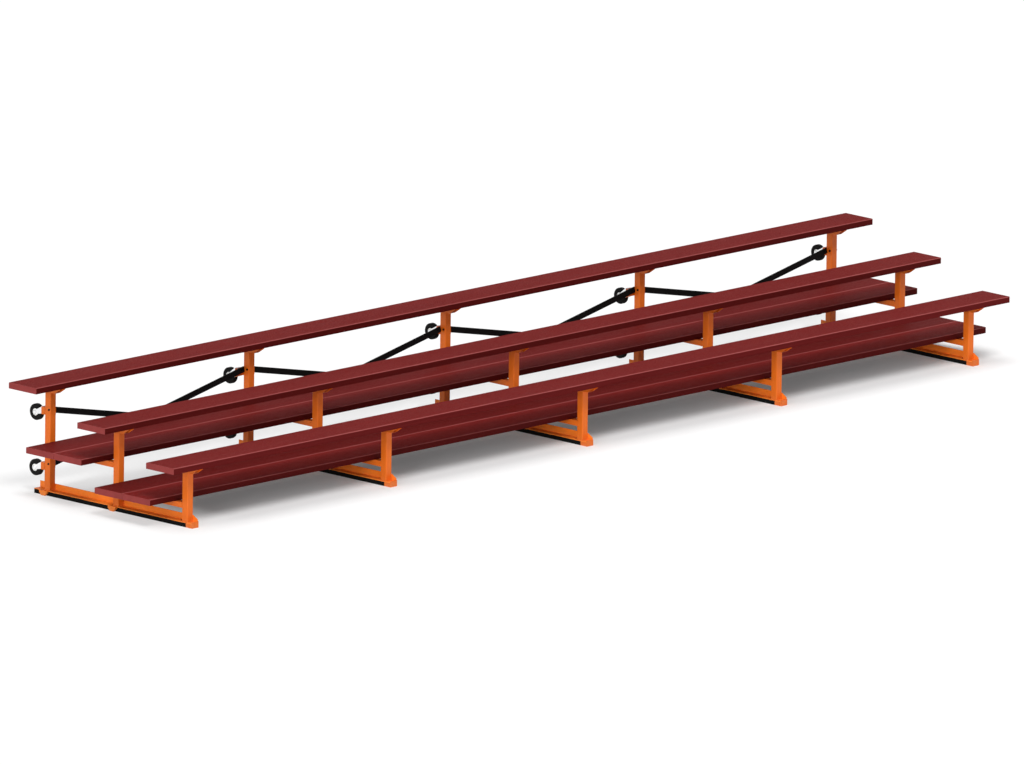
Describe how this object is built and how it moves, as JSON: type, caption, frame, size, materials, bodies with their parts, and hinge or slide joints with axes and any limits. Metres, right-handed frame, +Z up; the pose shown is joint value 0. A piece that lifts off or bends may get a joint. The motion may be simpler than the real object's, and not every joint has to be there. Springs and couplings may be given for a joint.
{
  "type": "portable bleacher",
  "caption": "Low portable bleacher with maroon plank seats and foot boards on orange welded frames, black cross braces and rear casters to tip it back and roll it.",
  "frame": {"origin": "on the floor, under the middle of the overall box at rest", "axes": "+X along the rows to the right seen from the front, -Y to the front, +Z up"},
  "size_m": [7.3152, 1.47, 0.7178],
  "materials": {
    "plank_finish": "maroon coated extrusion, satin",
    "cap_finish": "maroon coated plate, satin",
    "frame_paint": "orange powder coat",
    "brace_paint": "black powder coat",
    "runner_rubber": "matt black",
    "zinc": "bright zinc plate",
    "hub_plastic": "off-white moulded",
    "tyre_rubber": "black rubber"
  },
  "bodies": {
    "bleacher": {"seat_plank_row_1": "plank_finish", "seat_plank_row_2": "plank_finish", "seat_plank_row_3": "plank_finish", "foot_plank_row_2_front": "plank_finish", "foot_plank_row_2_rear": "plank_finish", "foot_plank_row_3_front": "plank_finish", "foot_plank_row_3_rear": "plank_finish", "plank_end_caps": "cap_finish", "base_angles": "frame_paint", "front_posts": "frame_paint", "middle_posts": "frame_paint", "rear_posts": "frame_paint", "seat_brackets": "frame_paint", "lower_foot_supports": "frame_paint", "upper_foot_supports": "frame_paint", "front_feet": "frame_paint", "inner_feet": "frame_paint", "rigid_caster_brackets": "frame_paint", "swivel_caster_brackets": "frame_paint", "brace_clips": "frame_paint", "cross_brace_bay_1": "brace_paint", "cross_brace_bay_2": "brace_paint", "cross_brace_bay_3": "brace_paint", "cross_brace_bay_4": "brace_paint", "brace_bolts": "brace_paint", "clip_bolts": "brace_paint", "runners": "runner_rubber", "plank_bolts": "zinc", "plank_nuts": "zinc", "caster_bolts": "zinc", "rigid_caster_forks": "zinc", "rigid_caster_axles": "zinc", "swivel_caster_plates": "zinc", "swivel_caster_kingpins": "zinc"},
    "wheel_1_upper": {"hub_1_upper": "hub_plastic", "tyre_1_upper": "tyre_rubber"},
    "wheel_1_lower": {"hub_1_lower": "hub_plastic", "tyre_1_lower": "tyre_rubber"},
    "wheel_2_upper": {"hub_2_upper": "hub_plastic", "tyre_2_upper": "tyre_rubber"},
    "swivel_2_upper": {"swivel_fork_2_upper": "zinc"},
    "wheel_2_lower": {"hub_2_lower": "hub_plastic", "tyre_2_lower": "tyre_rubber"},
    "swivel_2_lower": {"swivel_fork_2_lower": "zinc"},
    "wheel_3_upper": {"hub_3_upper": "hub_plastic", "tyre_3_upper": "tyre_rubber"},
    "wheel_3_lower": {"hub_3_lower": "hub_plastic", "tyre_3_lower": "tyre_rubber"},
    "wheel_4_upper": {"hub_4_upper": "hub_plastic", "tyre_4_upper": "tyre_rubber"},
    "swivel_4_upper": {"swivel_fork_4_upper": "zinc"},
    "wheel_4_lower": {"hub_4_lower": "hub_plastic", "tyre_4_lower": "tyre_rubber"},
    "swivel_4_lower": {"swivel_fork_4_lower": "zinc"},
    "wheel_5_upper": {"hub_5_upper": "hub_plastic", "tyre_5_upper": "tyre_rubber"},
    "wheel_5_lower": {"hub_5_lower": "hub_plastic", "tyre_5_lower": "tyre_rubber"}
  },
  "joints": [
    {"name": "wheel_1_upper_spin", "type": "hinge", "parent": "bleacher", "child": "wheel_1_upper", "pos_m": [-3.4163, 0.68422, 0.5005], "axis": [1, 0, 0], "continuous": true},
    {"name": "wheel_1_lower_spin", "type": "hinge", "parent": "bleacher", "child": "wheel_1_lower", "pos_m": [-3.4163, 0.68422, 0.156], "axis": [1, 0, 0], "continuous": true},
    {"name": "swivel_2_upper_turn", "type": "hinge", "parent": "bleacher", "child": "swivel_2_upper", "pos_m": [-1.75315, 0.61923, 0.5165], "axis": [0, 1, 0], "continuous": true},
    {"name": "wheel_2_upper_spin", "type": "hinge", "parent": "swivel_2_upper", "child": "wheel_2_upper", "pos_m": [-1.75315, 0.68422, 0.4815], "axis": [1, 0, 0], "continuous": true},
    {"name": "swivel_2_lower_turn", "type": "hinge", "parent": "bleacher", "child": "swivel_2_lower", "pos_m": [-1.75315, 0.61923, 0.172], "axis": [0, 1, 0], "continuous": true},
    {"name": "wheel_2_lower_spin", "type": "hinge", "parent": "swivel_2_lower", "child": "wheel_2_lower", "pos_m": [-1.75315, 0.68422, 0.137], "axis": [1, 0, 0], "continuous": true},
    {"name": "wheel_3_upper_spin", "type": "hinge", "parent": "bleacher", "child": "wheel_3_upper", "pos_m": [0, 0.68422, 0.5005], "axis": [1, 0, 0], "continuous": true},
    {"name": "wheel_3_lower_spin", "type": "hinge", "parent": "bleacher", "child": "wheel_3_lower", "pos_m": [0, 0.68422, 0.156], "axis": [1, 0, 0], "continuous": true},
    {"name": "swivel_4_upper_turn", "type": "hinge", "parent": "bleacher", "child": "swivel_4_upper", "pos_m": [1.66315, 0.61923, 0.5165], "axis": [0, 1, 0], "continuous": true},
    {"name": "wheel_4_upper_spin", "type": "hinge", "parent": "swivel_4_upper", "child": "wheel_4_upper", "pos_m": [1.66315, 0.68422, 0.4815], "axis": [1, 0, 0], "continuous": true},
    {"name": "swivel_4_lower_turn", "type": "hinge", "parent": "bleacher", "child": "swivel_4_lower", "pos_m": [1.66315, 0.61923, 0.172], "axis": [0, 1, 0], "continuous": true},
    {"name": "wheel_4_lower_spin", "type": "hinge", "parent": "swivel_4_lower", "child": "wheel_4_lower", "pos_m": [1.66315, 0.68422, 0.137], "axis": [1, 0, 0], "continuous": true},
    {"name": "wheel_5_upper_spin", "type": "hinge", "parent": "bleacher", "child": "wheel_5_upper", "pos_m": [3.4163, 0.68422, 0.5005], "axis": [1, 0, 0], "continuous": true},
    {"name": "wheel_5_lower_spin", "type": "hinge", "parent": "bleacher", "child": "wheel_5_lower", "pos_m": [3.4163, 0.68422, 0.156], "axis": [1, 0, 0], "continuous": true}
  ]
}
